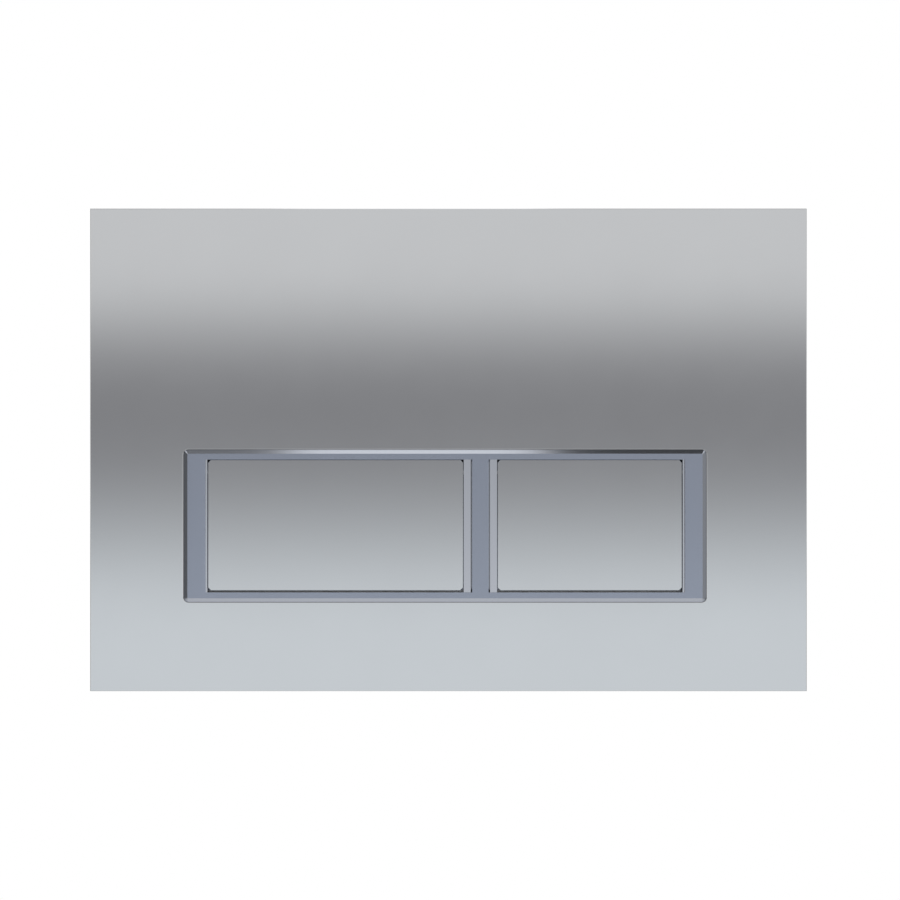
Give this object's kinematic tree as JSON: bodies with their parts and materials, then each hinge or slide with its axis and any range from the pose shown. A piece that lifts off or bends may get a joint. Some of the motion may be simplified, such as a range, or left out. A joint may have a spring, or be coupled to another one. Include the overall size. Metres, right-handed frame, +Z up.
{
  "type": "flush button plate",
  "caption": "Rectangular chrome wall plate with a wide and a narrow hinged flush button in a raised surround, on a clip-on frame with push rods.",
  "frame": {"origin": "centre of the plate on the wall plane, which is the rear face of the plate's rim", "axes": "+X to the right seen from the front, +Y into the wall, +Z up; the front faces -Y"},
  "size_m": [0.245, 0.0856, 0.165],
  "materials": {
    "bright_chrome": "polished chrome plating on moulded plastic",
    "satin_chrome": "satin blue-grey chrome plating on moulded plastic",
    "zinc_steel": "bright zinc plated",
    "stainless_steel": "drawn stainless steel",
    "frame_plastic": "fine matt moulded plastic",
    "white_plastic": "natural moulded plastic",
    "buffer_rubber": "soft matt rubber"
  },
  "bodies": {
    "plate": {"face_plate": "bright_chrome", "button_surround": "satin_chrome", "module_screws": "zinc_steel", "large_hinge_pin": "stainless_steel", "small_hinge_pin": "stainless_steel", "mounting_frame": "frame_plastic", "fixing_screws": "white_plastic", "clamp_nuts": "frame_plastic", "large_spring": "stainless_steel", "small_spring": "stainless_steel"},
    "large_button": {"large_button": "bright_chrome", "large_buffers": "buffer_rubber"},
    "large_push_rod": {"large_piston": "white_plastic", "large_push_rod": "white_plastic", "large_lock_nut": "frame_plastic"},
    "small_button": {"small_button": "bright_chrome", "small_buffers": "buffer_rubber"},
    "small_push_rod": {"small_piston": "white_plastic", "small_push_rod": "white_plastic", "small_lock_nut": "frame_plastic"}
  },
  "joints": [
    {"name": "large_button_press", "type": "hinge", "parent": "plate", "child": "large_button", "pos_m": [-0.0386, -0.0076, -0.0076], "axis": [1, 0, 0], "range_deg": [0, 7], "stiffness_Nm_per_rad": 0.25, "springref_deg": -11.46},
    {"name": "large_rod_slide", "type": "slide", "parent": "plate", "child": "large_push_rod", "axis": [0, 1, 0], "range_m": [0, 0.004], "deforming": ["large_spring"]},
    {"name": "small_button_press", "type": "hinge", "parent": "plate", "child": "small_button", "pos_m": [0.0483, -0.0076, -0.0076], "axis": [1, 0, 0], "range_deg": [0, 7], "stiffness_Nm_per_rad": 0.25, "springref_deg": -11.46},
    {"name": "small_rod_slide", "type": "slide", "parent": "plate", "child": "small_push_rod", "axis": [0, 1, 0], "range_m": [0, 0.004], "deforming": ["small_spring"]}
  ],
  "couplings": [
    {"joint": "large_rod_slide", "follows": "large_button_press", "m_per_rad": 0.032},
    {"joint": "small_rod_slide", "follows": "small_button_press", "m_per_rad": 0.032}
  ]
}
